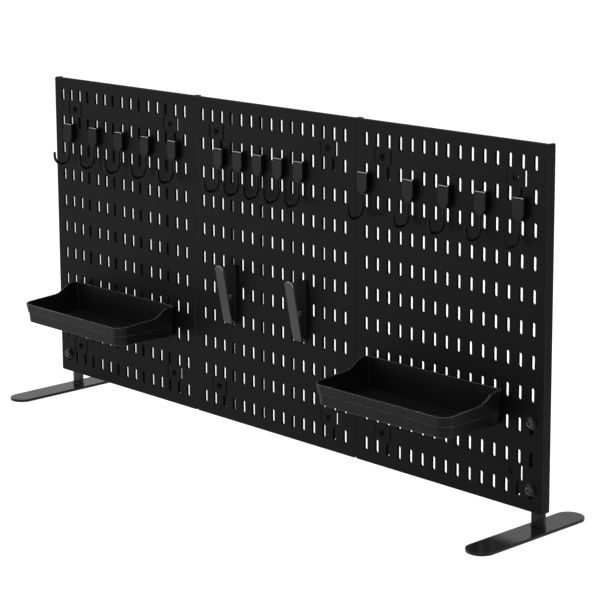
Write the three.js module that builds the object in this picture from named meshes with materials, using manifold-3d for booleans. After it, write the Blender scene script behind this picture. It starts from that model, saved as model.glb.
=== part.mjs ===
// A free-standing pegboard tool wall: three slotted panels joined side by side on two steel feet,
// with lift-off hooks and trays hung in the slots and two tool holders screwed to the middle panel.
// Millimetres, +Z up. The wall faces -Y, and the origin is on the floor under its middle.
import * as THREE from "three";
import { mergeVertices } from "three/addons/utils/BufferGeometryUtils.js";
import Module from "manifold-3d";

const wasm = await Module();
wasm.setup();

// ---------------------------------------------------------------- driving dimensions

// The slot grid that everything hangs from.
const columns = 15;
const rows = 11;
const columnPitch = 20;
const rowPitch = 40;
const slotWidth = 5.6;
const slotHeight = 18;

// The panels.
const sideMargin = 19; // outer column to the panel's side
const endMargin = 25; // outer row to the panel's top or bottom
const sheet = 3.4;
const panelDepth = 13;
const flangeWall = 2.4;
const panelCorner = 3;
const ribDepth = 10.5;
const ribWall = 2;
const ribbedAfterColumns = [3, 6, 9, 12];
const seamGap = 0.8;
const floorClearance = 27;

// The wall-fixing pads between two columns near each corner of a panel.
const padBetweenColumns = [2.5, 13.5];
const padBetweenRows = [1.5, 10.5];
const padCutWidth = 4.6;
const padCutShift = 1.5; // from the outer side of a slot column to the middle of the cut
const padCutEnd = 1.3; // from a cut to the rows above and below it
const padScrewHole = 6;
const padRecess = 10.4;
const padRecessDepth = 1.2;
const padBossDepths = [ribDepth, 7.5]; // behind the holes of the left and the right pads
const padBossStep = 10; // below the hole, where every boss is as deep as the ribs
const padBossTop = 9;
const padBossBottom = 29;
const padBossClearance = 0.7; // from the boss to the slots beside it

// The feet.
const footLength = 200;
const footFront = 107; // how far the plate reaches in front of the wall
const footPlate = 4;
const uprightWidth = 20;
const uprightThickness = 4.5;
const uprightTop = 9; // above the upper screw
const uprightCorner = 3;
const footRows = [9, 11];
const footScrewDrops = [0, 3.4]; // each screw below the upper end of its slot

// The hooks.
const hookRow = 2;
const hookColumns = [[2, 5, 8, 11, 14], [3, 5, 7, 9, 11], [1, 5, 8, 11, 14]];
const hookWidth = 18.5;
const hookDepth = 7.7;
const hookCorner = 3;
const hookTop = -2; // from here on, heights of hung pieces are measured from their row's centre
const hookShoulder = -23.5;
const hookChin = -31;
const hookWire = 4;
const hookChinMargin = 0.5; // each side of the wire, where the body ends
const hookBendRadius = 13.2;
const hookBendHeight = -47;
const hookTip = -41;

// The trays.
const trayRow = 8;
const trayWidth = 230;
const trayDepth = 104;
const trayHeight = 44;
const trayFrontHeight = 27;
const trayBandHeight = 12.5;
const trayLedge = 0.8;
const trayWall = 2.4;
const trayTaper = 3.2;
const traySweepStart = 12; // the sides are at full height from the back to here,
const traySweepEnd = 42; // and have come down by here
const traySweepRise = 4; // to this much above the front
const trayFrontCorner = 16;
const trayBackCorner = 6;
const trayTop = -1;
const trayTabColumns = 4; // columns from the tray's middle to each tab

// The tool holders.
const holderRow = 7;
const holderPlateWidth = 20;
const holderPlate = 2.5;
const holderTop = 39;
const holderBottom = -43;
const holderCorner = 1;
const holderTopCorner = 3;
const strapTop = 41;
const strapWidth = 16.5;
const strapThickness = 2.4;
const strapReach = 26;
const strapBend = 4;

// Fasteners and fits.
const gap = 0.3; // between pieces that touch
const screwClearance = 0.3; // around a screw in its hole
const tabClearance = 0.5; // each side of a tab in its slot
const screwEnd = 1.5; // how far a screw stands out of its nut
const screwDome = [[0.55, 0.88], [0.9, 0.5]]; // shares of a head's radius and of its height
const nutCorners = 1.95; // across a nut's corners, in screw diameters
const tabHeight = 4.7;
const lipLength = 6;
const lipThickness = 2.2;
const washerThickness = 1.2;
const washerOverlap = 4.7; // each side of a slot
const footHeadOverlap = 3.2; // each side of a slot
const footHeadHeight = 3.8;
const spacerWidth = 19;
const spacerCorner = 1;
const spacerEnds = [[-25, 10], [-25, 47]]; // from each screw down and up
const footNutHeight = 4;
const holderHeadHeight = 2.6;
const holderNutHeight = 3.2;
const holderNutOverlap = 2.2; // each side of a slot
const linkBoltDiameter = 4;
const linkHeadDiameter = 7.2;
const linkHeadHeight = 2.4;
const linkNutHeight = 3.2;
const linkBoltHeights = [75, 225, 375]; // above the panel's bottom edge

// ---------------------------------------------------------------- sizes that follow

const panelWidth = (columns - 1) * columnPitch + 2 * sideMargin;
const panelHeight = (rows - 1) * rowPitch + 2 * endMargin;
const panelPitch = panelWidth + seamGap;
const panelMiddle = floorClearance + panelHeight / 2;
const wallFront = footFront - footLength / 2;
const footScrewDiameter = slotWidth - 2 * screwClearance;
const holderScrewDiameter = footScrewDiameter - 1;
const footWidth = 2 * sideMargin;
const uprightFront = panelDepth + gap;
const strapTopRadius = 0.485 * strapWidth;

const panelNames = ["left", "middle", "right"];
const panelX = (panel) => (panel - (panelNames.length - 1) / 2) * panelPitch;
const columnX = (column) => (column - (columns + 1) / 2) * columnPitch;
const rowZ = (row) => ((rows + 1) / 2 - row) * rowPitch;

// ---------------------------------------------------------------- finishes

const finish = (color, roughness, metalness) =>
  new THREE.MeshStandardMaterial({ color, roughness, metalness });
const panelPlastic = finish(0x1d1e1f, 0.55, 0);
const hookPlastic = finish(0x141516, 0.35, 0);
const trayPlastic = finish(0x202122, 0.5, 0);
const holderPlastic = finish(0x3a3b3c, 0.5, 0);
const footSteel = finish(0x2a2b2c, 0.4, 0.6);
const blackSteel = finish(0x121314, 0.3, 0.8);
const plainSteel = finish(0x8d8f92, 0.4, 1);

// ---------------------------------------------------------------- solids

// A closed geometry as a solid that can be joined and cut.
function solid(geometry) {
  const bare = geometry.clone();
  bare.deleteAttribute("normal");
  bare.deleteAttribute("uv");
  const merged = mergeVertices(bare, 1e-4);
  return new wasm.Manifold(new wasm.Mesh({
    numProp: 3,
    vertProperties: merged.attributes.position.array,
    triVerts: new Uint32Array(merged.index.array),
  }));
}

function geometryOf(manifold) {
  const mesh = manifold.getMesh();
  const geometry = new THREE.BufferGeometry();
  geometry.setAttribute("position", new THREE.BufferAttribute(mesh.vertProperties, 3));
  geometry.setIndex(new THREE.BufferAttribute(mesh.triVerts, 1));
  geometry.computeVertexNormals();
  return geometry;
}

function block([x0, y0, z0], [x1, y1, z1]) {
  const box = new THREE.BoxGeometry(x1 - x0, y1 - y0, z1 - z0);
  box.translate((x0 + x1) / 2, (y0 + y1) / 2, (z0 + z1) / 2);
  return solid(box);
}

// An outline drawn in X and Z, made solid from one depth to another.
function plate(outline, front, back, curveSegments = 4) {
  const options = { depth: back - front, bevelEnabled: false, curveSegments };
  const extruded = new THREE.ExtrudeGeometry(outline, options);
  extruded.rotateX(Math.PI / 2);
  extruded.translate(0, back, 0);
  return solid(extruded);
}

// An outline drawn in Y and Z, made solid across a width centred on X = 0.
function profile(outline, width, curveSegments = 6) {
  const options = { depth: width, bevelEnabled: false, curveSegments };
  const extruded = new THREE.ExtrudeGeometry(outline, options);
  const turned = new THREE.Matrix4().makeBasis(
    new THREE.Vector3(0, 1, 0),
    new THREE.Vector3(0, 0, 1),
    new THREE.Vector3(1, 0, 0),
  );
  extruded.applyMatrix4(turned);
  extruded.translate(-width / 2, 0, 0);
  return solid(extruded);
}

// A rod or ring turned about the Y axis, from [radius, y] points that start and end on the axis.
function turnedAboutY(points, sides) {
  const outline = points.map(([radius, y]) => new THREE.Vector2(radius, y));
  return solid(new THREE.LatheGeometry(outline, sides));
}

function circle(x, z, diameter, sides) {
  const points = [];
  for (let i = 0; i < sides; i += 1) {
    const turn = ((i + 0.5) / sides) * 2 * Math.PI;
    const across = (diameter / 2) * Math.cos(turn);
    const up = (diameter / 2) * Math.sin(turn);
    points.push(new THREE.Vector2(x + across, z + up));
  }
  return points;
}

// A rectangle whose four corner radii go anticlockwise from the bottom left.
function roundedOutline(x0, z0, x1, z1, radii) {
  const [bottomLeft, bottomRight, topRight, topLeft] = radii;
  const outline = new THREE.Shape();
  outline.moveTo(x0 + bottomLeft, z0);
  outline.absarc(x1 - bottomRight, z0 + bottomRight, bottomRight, -Math.PI / 2, 0);
  outline.absarc(x1 - topRight, z1 - topRight, topRight, 0, Math.PI / 2);
  outline.absarc(x0 + topLeft, z1 - topLeft, topLeft, Math.PI / 2, Math.PI);
  outline.absarc(x0 + bottomLeft, z0 + bottomLeft, bottomLeft, Math.PI, 1.5 * Math.PI);
  return outline;
}

// ---------------------------------------------------------------- pieces

const wall = new THREE.Group();
wall.name = "pegboard_tool_wall";

function place(name, manifold, material, x = 0, y = 0, z = 0) {
  const mesh = new THREE.Mesh(geometryOf(manifold), material);
  mesh.name = name;
  mesh.position.set(x, y, z);
  wall.add(mesh);
}

// A panel, centred on X = 0 and Z = 0 with its front face on Y = 0.
function panel(linkedSides) {
  const halfWidth = panelWidth / 2;
  const halfHeight = panelHeight / 2;
  const corners = [panelCorner, panelCorner, panelCorner, panelCorner];
  const outline = roundedOutline(-halfWidth, -halfHeight, halfWidth, halfHeight, corners);
  let body = plate(outline, 0, sheet, 2);

  // The flange down each side, and the ribs down the back.
  const innerHalf = halfWidth - flangeWall;
  const between = block([-innerHalf, 0, -panelHeight], [innerHalf, panelDepth + 1, panelHeight]);
  body = body.add(plate(outline, sheet / 2, panelDepth, 2).subtract(between));
  for (const column of ribbedAfterColumns) {
    const x = columnX(column + 0.5);
    const low = [x - ribWall / 2, sheet / 2, -halfHeight + panelCorner];
    const high = [x + ribWall / 2, ribDepth, halfHeight - panelCorner];
    body = body.add(block(low, high));
  }

  // The slots.
  const slotLow = [-slotWidth / 2, -1, -slotHeight / 2];
  const slot = block(slotLow, [slotWidth / 2, sheet + 1, slotHeight / 2]);
  for (let column = 1; column <= columns; column += 1) {
    for (let row = 1; row <= rows; row += 1) {
      body = body.subtract(slot.translate([columnX(column), 0, rowZ(row)]));
    }
  }

  // Each pad: a boss behind, a cut down each side, a recess and a screw hole.
  const bossHalf = columnPitch / 2 - slotWidth / 2 - padBossClearance;
  const bossLow = [-bossHalf, sheet / 2, -padBossBottom];
  const deepBoss = block(bossLow, [bossHalf, ribDepth, -padBossStep]);
  const cutHalf = (rowPitch - slotHeight) / 2 - padCutEnd;
  const cutOffset = columnPitch / 2 + slotWidth / 2 + padCutShift;
  const cut = block([-padCutWidth / 2, -1, -cutHalf], [padCutWidth / 2, sheet + 1, cutHalf]);
  const recess = plate(new THREE.Shape(circle(0, 0, padRecess, 12)), -1, padRecessDepth);
  const screwHole = plate(new THREE.Shape(circle(0, 0, padScrewHole, 8)), -1, ribDepth + 1);
  for (const [index, column] of padBetweenColumns.entries()) {
    const boss = deepBoss.add(block(bossLow, [bossHalf, padBossDepths[index], padBossTop]));
    for (const row of padBetweenRows) {
      const centre = [columnX(column), 0, rowZ(row)];
      body = body.add(boss.translate(centre));
      body = body.subtract(recess.translate(centre)).subtract(screwHole.translate(centre));
      for (const side of [-1, 1]) {
        body = body.subtract(cut.translate([centre[0] + side * cutOffset, 0, centre[2]]));
      }
    }
  }

  // The holes that the link bolts pass through, in the sides that meet another panel.
  for (const side of linkedSides) {
    for (const height of linkBoltHeights) {
      const hole = turnedAboutY(rod(linkBoltDiameter / 2 + screwClearance, -flangeWall, flangeWall), 8);
      const z = height - halfHeight;
      const centre = side * (halfWidth - flangeWall / 2);
      body = body.subtract(hole.rotate([0, 0, -90]).translate([centre, linkBoltDepth(), z]));
    }
  }
  return body;
}

// The points of a plain rod from one end to the other.
function rod(radius, start, end) {
  return [[0, start], [radius, start], [radius, end], [0, end]];
}

// Link bolts run halfway between the sheet and the flange's back edge.
function linkBoltDepth() {
  return (sheet + panelDepth) / 2;
}

// A domed screw along +Y, with the underside of its head on Y = 0.
function screw(diameter, headDiameter, headHeight, length, sides = 10) {
  const headRadius = headDiameter / 2;
  const dome = screwDome.map(([out, up]) => [out * headRadius, -up * headHeight]);
  return turnedAboutY([
    [0, -headHeight],
    ...dome,
    [headRadius, 0],
    [diameter / 2, 0],
    [diameter / 2, length],
    [0, length],
  ], sides);
}

// A hexagon nut or a round ring along +Y from Y = 0, with a hole for its screw.
function ring(outerPoints, screwDiameter, height) {
  const outline = new THREE.Shape(outerPoints);
  outline.holes.push(new THREE.Path(circle(0, 0, screwDiameter + 2 * screwClearance, 8)));
  return plate(outline, 0, height);
}

function nut(screwDiameter, height) {
  return ring(circle(0, 0, nutCorners * screwDiameter, 6), screwDiameter, height);
}

// A route of straight stretches from corner to corner, whose sections stand across each corner.
class Route extends THREE.Curve {
  constructor(corners) {
    super();
    this.corners = corners;
  }

  getPointAt(u) {
    return this.corners[Math.round(u * (this.corners.length - 1))].clone();
  }

  getTangentAt(u) {
    const here = Math.round(u * (this.corners.length - 1));
    const corner = this.corners[here];
    const before = this.corners[here - 1] ?? corner;
    const after = this.corners[here + 1] ?? corner;
    const arriving = corner.clone().sub(before).normalize();
    const leaving = after.clone().sub(corner).normalize();
    return arriving.add(leaving).normalize();
  }
}

// A tab that goes back through a slot and a lip that drops behind the sheet, for a piece hung at Z = 0.
function wallTab(x, root) {
  const halfWidth = slotWidth / 2 - tabClearance;
  const bottom = -slotHeight / 2 + gap;
  const lipFront = sheet + gap;
  const lipBack = lipFront + lipThickness;
  const tab = block([x - halfWidth, root, bottom], [x + halfWidth, lipBack, bottom + tabHeight]);
  const lipTop = bottom + tabHeight / 2;
  const lip = block([x - halfWidth, lipFront, bottom - lipLength], [x + halfWidth, lipBack, lipTop]);
  return tab.add(lip);
}

// A hook: a moulded body that tapers to a round J, hung by one tab.
function hook() {
  const half = hookWidth / 2;
  const chinHalf = hookWire / 2 + hookChinMargin;
  const front = new THREE.Shape();
  front.moveTo(-chinHalf, hookChin);
  front.lineTo(chinHalf, hookChin);
  front.lineTo(half, hookShoulder);
  front.absarc(half - hookCorner, hookTop - hookCorner, hookCorner, 0, Math.PI / 2);
  front.absarc(-half + hookCorner, hookTop - hookCorner, hookCorner, Math.PI / 2, Math.PI);
  front.lineTo(-half, hookShoulder);
  const body = plate(front, -gap - hookDepth, -gap, 2);

  const armY = -gap - hookDepth + hookWire / 2;
  const bendY = armY - hookBendRadius;
  const corners = [new THREE.Vector3(0, armY, hookShoulder)];
  const bendSteps = 8;
  for (let i = 0; i <= bendSteps; i += 1) {
    const turn = (i / bendSteps) * Math.PI;
    const y = bendY + hookBendRadius * Math.cos(turn);
    const z = hookBendHeight - hookBendRadius * Math.sin(turn);
    corners.push(new THREE.Vector3(0, y, z));
  }
  corners.push(new THREE.Vector3(0, bendY - hookBendRadius, hookTip));
  const section = new THREE.Shape(circle(0, 0, hookWire, 8));
  const options = { steps: corners.length - 1, extrudePath: new Route(corners), bevelEnabled: false };
  const arm = solid(new THREE.ExtrudeGeometry(section, options));
  return body.add(arm).add(wallTab(0, -gap - hookDepth / 2));
}

// A tray's plan outline, with its back on Y = 0 and its front towards -Y.
function trayPlan(width, depth, frontCorner, backCorner) {
  const half = width / 2;
  return roundedOutline(-half, -depth, half, 0, [frontCorner, frontCorner, backCorner, backCorner]);
}

// A block on a tray's plan, drawn in by the taper at its bottom, from Z = 0 up.
function taperedBlock(plan, width, depth, height) {
  const options = { depth: height, bevelEnabled: false, curveSegments: 4 };
  const extruded = new THREE.ExtrudeGeometry(plan, options);
  const position = extruded.attributes.position;
  for (let i = 0; i < position.count; i += 1) {
    const inset = trayTaper * (1 - position.getZ(i) / height);
    position.setX(i, position.getX(i) * (1 - inset / (width / 2)));
    position.setY(i, position.getY(i) * (1 - inset / depth));
  }
  return solid(extruded);
}

// A tray: a tapered tub with a high back, sides that sweep down to a low front,
// and a band round its rim that stands proud.
function tray() {
  const lowerWidth = trayWidth - 2 * trayLedge;
  const lowerDepth = trayDepth - trayLedge;
  const lowerPlan = trayPlan(lowerWidth, lowerDepth, trayFrontCorner - trayLedge, trayBackCorner);
  const upperPlan = trayPlan(trayWidth, trayDepth, trayFrontCorner, trayBackCorner);
  const bandBottom = trayFrontHeight - trayBandHeight;
  const above = block([-trayWidth, -2 * trayDepth, bandBottom], [trayWidth, trayDepth, 2 * trayHeight]);
  const band = taperedBlock(upperPlan, trayWidth, trayDepth, trayHeight).intersect(above);
  let body = taperedBlock(lowerPlan, lowerWidth, lowerDepth, trayHeight).add(band);

  const innerWidth = lowerWidth - 2 * trayWall;
  const innerDepth = lowerDepth - 2 * trayWall;
  const innerCorner = trayFrontCorner - trayLedge - trayWall;
  const innerPlan = trayPlan(innerWidth, innerDepth, innerCorner, trayBackCorner - trayWall);
  const hollow = taperedBlock(innerPlan, innerWidth, innerDepth, trayHeight);
  body = body.subtract(hollow.translate([0, -trayWall, trayWall]));

  const sweepHeight = trayFrontHeight + traySweepRise;
  const ease = 0.4 * (traySweepEnd - traySweepStart);
  const easeRise = (ease * traySweepRise) / (trayDepth - traySweepEnd);
  const easeEnd = [-traySweepEnd + ease, sweepHeight + easeRise];
  const cut = new THREE.Shape();
  cut.moveTo(-traySweepStart, trayHeight);
  cut.bezierCurveTo(-traySweepStart - ease, trayHeight, ...easeEnd, -traySweepEnd, sweepHeight);
  cut.lineTo(-trayDepth - 1, trayFrontHeight);
  cut.lineTo(-trayDepth - 1, 2 * trayHeight);
  cut.lineTo(-traySweepStart, 2 * trayHeight);
  body = body.subtract(profile(cut, trayWidth + 2, 6));

  const lift = trayTop - trayHeight;
  body = body.translate([0, -gap, lift]);
  for (const side of [-1, 1]) {
    body = body.add(wallTab(side * trayTabColumns * columnPitch, -gap - trayWall / 2));
  }
  return body;
}

// A tool holder: a back plate, and a strap that rises from its lower end and leans out.
function holder() {
  const halfPlate = holderPlateWidth / 2;
  const bendTop = holderBottom + strapBend;
  const bendFloor = holderBottom + strapThickness;
  const plateCorners = [holderCorner, holderCorner, holderTopCorner, holderTopCorner];
  const plateOutline = roundedOutline(-halfPlate, bendTop, halfPlate, holderTop, plateCorners);
  const back = plate(plateOutline, -gap - holderPlate, -gap, 2);

  const innerY = -gap - holderPlate;
  const bottomY = innerY - 2 * strapBend + strapThickness;
  const topY = -strapReach;
  const side = new THREE.Shape();
  side.moveTo(-gap, bendTop + holderTopCorner);
  side.lineTo(innerY, bendTop + holderTopCorner);
  side.lineTo(innerY, bendTop);
  side.lineTo(innerY - holderCorner, bendFloor);
  side.lineTo(bottomY + holderCorner, bendFloor);
  side.lineTo(bottomY, bendTop);
  side.lineTo(topY + strapThickness, strapTop);
  side.lineTo(topY, strapTop);
  side.lineTo(bottomY - strapThickness, bendTop);
  side.lineTo(bottomY - holderCorner, holderBottom);
  side.lineTo(-gap - holderCorner, holderBottom);
  side.lineTo(-gap, holderBottom + holderCorner);
  const halfStrap = strapWidth / 2;
  const strapCorners = [2 * holderCorner, 2 * holderCorner, strapTopRadius, strapTopRadius];
  const strapOutline = roundedOutline(-halfStrap, holderBottom, halfStrap, strapTop, strapCorners);
  const strap = profile(side, strapWidth).intersect(plate(strapOutline, -2 * strapReach, sheet, 4));
  const holeDiameter = holderScrewDiameter + 2 * screwClearance;
  const hole = plate(new THREE.Shape(circle(0, slotFoot(), holeDiameter, 8)), innerY - 1, 1);
  return back.add(strap).subtract(hole);
}

// The height at which a holder's screw rests in the lower end of its slot.
function slotFoot() {
  return -slotHeight / 2 + holderScrewDiameter / 2 + screwClearance;
}

// The height at which a foot's screw bears in the upper end of its slot.
function slotHead() {
  return slotHeight / 2 - footScrewDiameter / 2 - screwClearance;
}

// A foot: a flat upright welded to a round-ended plate that lies on the floor.
function foot(screwHeights) {
  const plan = new THREE.Shape();
  const radius = footWidth / 2;
  const straight = footLength / 2 - radius;
  plan.absarc(0, straight, radius, 0, Math.PI);
  plan.absarc(0, -straight, radius, Math.PI, 2 * Math.PI);
  const options = { depth: footPlate, bevelEnabled: false, curveSegments: 12 };
  const base = solid(new THREE.ExtrudeGeometry(plan, options));
  const top = Math.max(...screwHeights) + uprightTop;
  const half = uprightWidth / 2;
  const corners = [uprightCorner / 6, uprightCorner / 6, uprightCorner, uprightCorner];
  const outline = roundedOutline(-half, footPlate / 2, half, top, corners);
  for (const height of screwHeights) {
    outline.holes.push(new THREE.Path(circle(0, height, footScrewDiameter + 2 * screwClearance, 8)));
  }
  const back = wallFront + uprightFront + uprightThickness;
  return base.add(plate(outline, wallFront + uprightFront, back, 2));
}

// A spacer that fills the depth between a panel's sheet and a foot's upright, drilled at Z = 0.
function spacerBlock(bottom, top, length) {
  const corners = [spacerCorner, spacerCorner, spacerCorner, spacerCorner];
  const outline = roundedOutline(-spacerWidth / 2, bottom, spacerWidth / 2, top, corners);
  outline.holes.push(new THREE.Path(circle(0, 0, footScrewDiameter + 2 * screwClearance, 8)));
  return plate(outline, 0, length, 2);
}

// ---------------------------------------------------------------- the panels and what links them

for (const [index, name] of panelNames.entries()) {
  const linkedSides = [-1, 1].filter((side) => panelNames[index + side] !== undefined);
  place(`${name}_panel`, panel(linkedSides), panelPlastic, panelX(index), wallFront, panelMiddle);
}

const linkGrip = 2 * flangeWall + seamGap;
const linkBoltLength = linkGrip + 2 * gap + linkNutHeight + screwEnd;
for (const [seam, seamName] of ["left_seam", "right_seam"].entries()) {
  const seamX = (seam - 0.5) * panelPitch;
  for (const [index, height] of linkBoltHeights.entries()) {
    const alongY = screw(linkBoltDiameter, linkHeadDiameter, linkHeadHeight, linkBoltLength, 8);
    const bolt = alongY.rotate([0, 0, -90]);
    const boltX = seamX - linkGrip / 2 - gap;
    const y = wallFront + linkBoltDepth();
    const z = floorClearance + height;
    place(`${seamName}_bolt_${index + 1}`, bolt, blackSteel, boltX, y, z);
    const linkNut = nut(linkBoltDiameter, linkNutHeight).rotate([0, 0, -90]);
    place(`${seamName}_nut_${index + 1}`, linkNut, plainSteel, seamX + linkGrip / 2 + gap, y, z);
  }
}

// ---------------------------------------------------------------- the feet and their screws

const feet = [["left", 0, 1], ["right", panelNames.length - 1, columns]];
const washerDiameter = slotWidth + 2 * washerOverlap;
const footHeadDiameter = slotWidth + 2 * footHeadOverlap;
const spacerLength = panelDepth - sheet - gap;
const footGrip = washerThickness + 3 * gap + uprightFront + uprightThickness;
const footScrewLength = footGrip + footNutHeight + screwEnd;
for (const [side, panelIndex, column] of feet) {
  const x = panelX(panelIndex) + columnX(column);
  const screwHeights = footRows.map(
    (row, index) => panelMiddle + rowZ(row) + slotHead() - footScrewDrops[index],
  );
  place(`${side}_foot`, foot(screwHeights), footSteel, x, 0, 0);
  for (const [index, level] of ["upper", "lower"].entries()) {
    const z = screwHeights[index];
    const prefix = `${side}_foot_${level}`;
    const washer = ring(circle(0, 0, washerDiameter, 14), footScrewDiameter, washerThickness);
    const washerFront = wallFront - gap - washerThickness;
    place(`${prefix}_washer`, washer, blackSteel, x, washerFront, z);
    const footScrew = screw(footScrewDiameter, footHeadDiameter, footHeadHeight, footScrewLength, 12);
    place(`${prefix}_screw`, footScrew, blackSteel, x, washerFront - gap, z);
    const [bottom, top] = spacerEnds[index];
    const spacer = spacerBlock(bottom, top, spacerLength);
    place(`${prefix}_spacer`, spacer, blackSteel, x, wallFront + sheet + gap, z);
    const nutFront = wallFront + uprightFront + uprightThickness + gap;
    place(`${prefix}_nut`, nut(footScrewDiameter, footNutHeight), plainSteel, x, nutFront, z);
  }
}

// ---------------------------------------------------------------- what hangs on the wall

for (const [index, name] of panelNames.entries()) {
  for (const [hung, column] of hookColumns[index].entries()) {
    const x = panelX(index) + columnX(column);
    place(`${name}_hook_${hung + 1}`, hook(), hookPlastic, x, wallFront, panelMiddle + rowZ(hookRow));
  }
}

for (const [name, panelIndex, column] of [["left_tray", 0, 8], ["right_tray", 2, 7]]) {
  const x = panelX(panelIndex) + columnX(column);
  place(name, tray(), trayPlastic, x, wallFront, panelMiddle + rowZ(trayRow));
}

for (const [name, column] of [["left_holder", 4], ["right_holder", 11]]) {
  const x = columnX(column);
  const z = panelMiddle + rowZ(holderRow);
  place(name, holder(), holderPlastic, x, wallFront, z);
  const length = holderPlate + sheet + 3 * gap + holderNutHeight + screwEnd;
  const headDiameter = 2 * holderScrewDiameter;
  const holderScrew = screw(holderScrewDiameter, headDiameter, holderHeadHeight, length);
  place(`${name}_screw`, holderScrew, blackSteel, x, wallFront - 2 * gap - holderPlate, z + slotFoot());
  const nutDiameter = slotWidth + 2 * holderNutOverlap;
  const holderNut = ring(circle(0, 0, nutDiameter, 6), holderScrewDiameter, holderNutHeight);
  place(`${name}_nut`, holderNut, plainSteel, x, wallFront + sheet + gap, z + slotFoot());
}

export default wall;
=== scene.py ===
import math
import bmesh
import bpy
from mathutils import Matrix, Vector


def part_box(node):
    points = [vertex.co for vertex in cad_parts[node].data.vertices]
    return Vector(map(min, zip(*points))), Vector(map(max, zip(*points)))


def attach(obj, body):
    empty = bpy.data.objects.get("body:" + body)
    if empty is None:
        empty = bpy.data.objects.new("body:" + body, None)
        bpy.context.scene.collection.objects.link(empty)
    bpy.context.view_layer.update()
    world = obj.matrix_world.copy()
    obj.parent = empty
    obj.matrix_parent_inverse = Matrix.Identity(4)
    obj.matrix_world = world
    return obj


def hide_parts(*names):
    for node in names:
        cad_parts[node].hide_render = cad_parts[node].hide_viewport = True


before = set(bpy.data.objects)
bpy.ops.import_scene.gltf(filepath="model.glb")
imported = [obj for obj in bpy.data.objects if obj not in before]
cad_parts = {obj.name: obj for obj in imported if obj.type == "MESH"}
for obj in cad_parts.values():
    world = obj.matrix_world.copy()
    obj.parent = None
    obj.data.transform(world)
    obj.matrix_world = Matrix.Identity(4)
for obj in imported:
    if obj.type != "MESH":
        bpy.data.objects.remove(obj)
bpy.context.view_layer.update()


# ---------------------------------------------------------------------------------- the panels
# Three like panels, each injection-moulded in satin black ABS as one slotted sheet with a flange
# down each side, four ribs behind and four pads for wall screws. They stand side by side. The
# slots have round ends, and their edges and the panel's own are broken by a small radius.
MM = 0.001
COLUMNS, ROWS = 15, 11
COLUMN_PITCH, ROW_PITCH = 20 * MM, 40 * MM
SLOT_WIDTH, SLOT_HEIGHT = 5.6 * MM, 18 * MM
SLOT_SIDES, SLOT_EDGE = 16, 0.3 * MM
SIDE_MARGIN, END_MARGIN = 19 * MM, 25 * MM
SHEET = 3.4 * MM
FLANGE_WALL = 2.4 * MM
PANEL_CORNER, PANEL_EDGE, PANEL_BORDER = 3 * MM, 1.1 * MM, 4 * MM
HIDDEN_EDGE = 0.5 * MM
RIB_DEPTH, RIB_WALL = 10.5 * MM, 2 * MM
RIBBED_AFTER = (3, 6, 9, 12)
SUNK = 0.3 * MM  # how far a boss or a rib starts inside the sheet
CLOSE = 0.02 * MM  # places nearer than this count as one
ALONG_Y = (math.pi / 2, 0, 0)

panel_low, panel_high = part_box("middle_panel")
panel_middle = (panel_low + panel_high) / 2
wall_front = panel_low.y
wall_back = panel_high.y


def alone(piece):
    """Leaves only this piece selected, and active."""
    bpy.ops.object.select_all(action="DESELECT")
    piece.select_set(True)
    bpy.context.view_layer.objects.active = piece


def start(name, primitive, **settings):
    """Adds one primitive as a new piece, with its place and turn in its mesh."""
    bpy.ops.object.select_all(action="DESELECT")
    primitive(**settings)
    piece = bpy.context.object
    piece.name = name
    piece.data.name = name
    bpy.ops.object.transform_apply(location=True, rotation=True, scale=True)
    return piece


def block(name, low, high):
    """A box between two corners, as the start of a piece."""
    low, high = Vector(low), Vector(high)
    cube = bpy.ops.mesh.primitive_cube_add
    return start(name, cube, size=1, location=(low + high) / 2, scale=high - low)


def edit(piece):
    """Opens a piece in edit mode, with all of it selected."""
    alone(piece)
    bpy.ops.object.mode_set(mode="EDIT")
    bpy.ops.mesh.select_all(action="SELECT")


def done():
    bpy.ops.object.mode_set(mode="OBJECT")


def pick(kind, wanted):
    """In edit mode, selects just the verts, edges or faces that wanted() says yes to."""
    bpy.ops.mesh.select_all(action="DESELECT")
    bpy.ops.mesh.select_mode(type={"verts": "VERT", "edges": "EDGE", "faces": "FACE"}[kind])
    mesh = bpy.context.edit_object.data
    model = bmesh.from_edit_mesh(mesh)
    model.normal_update()
    for part in getattr(model, kind):
        if wanted(part):
            part.select_set(True)
    model.select_flush_mode()
    bmesh.update_edit_mesh(mesh)


def near(a, b):
    return abs(a - b) < CLOSE


def faces_back(face):
    return face.normal.y > 0.9


def spans(edge, axis, value):
    """Whether both ends of an edge lie at this value along the axis."""
    return all(near(v.co[axis], value) for v in edge.verts)


def runs_along(edge, axis):
    """Whether an edge is parallel to the axis."""
    run = edge.verts[1].co - edge.verts[0].co
    return abs(run.normalized()[axis]) > 0.999


def sharp(edge, degrees=40):
    """Whether the two faces at an edge meet at more than this angle."""
    return len(edge.link_faces) == 2 and edge.calc_face_angle() > math.radians(degrees)


def middle_of(edge):
    return (edge.verts[0].co + edge.verts[1].co) / 2


def extrude(shift):
    """Extrudes what is selected by a shift."""
    bpy.ops.mesh.extrude_region_move(TRANSFORM_OT_translate={"value": shift})


def grow(factors, about):
    """Scales what is selected, about a point."""
    bpy.ops.transform.resize(value=factors, center_override=about)


def round_off(width, segments=2):
    """Rounds the selected edges."""
    bpy.ops.mesh.bevel(offset=width, segments=segments, affect="EDGES", clamp_overlap=True)


def mark(layer, wanted):
    """In edit mode, marks the faces that wanted() says yes to, for a painted highlight or for
    painted shade.
    """
    mesh = bpy.context.edit_object.data
    model = bmesh.from_edit_mesh(mesh)
    model.normal_update()
    marks = model.faces.layers.float
    marked = marks.get(layer) or marks.new(layer)
    for face in model.faces:
        if wanted(face):
            face[marked] = 1
    bmesh.update_edit_mesh(mesh)


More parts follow.
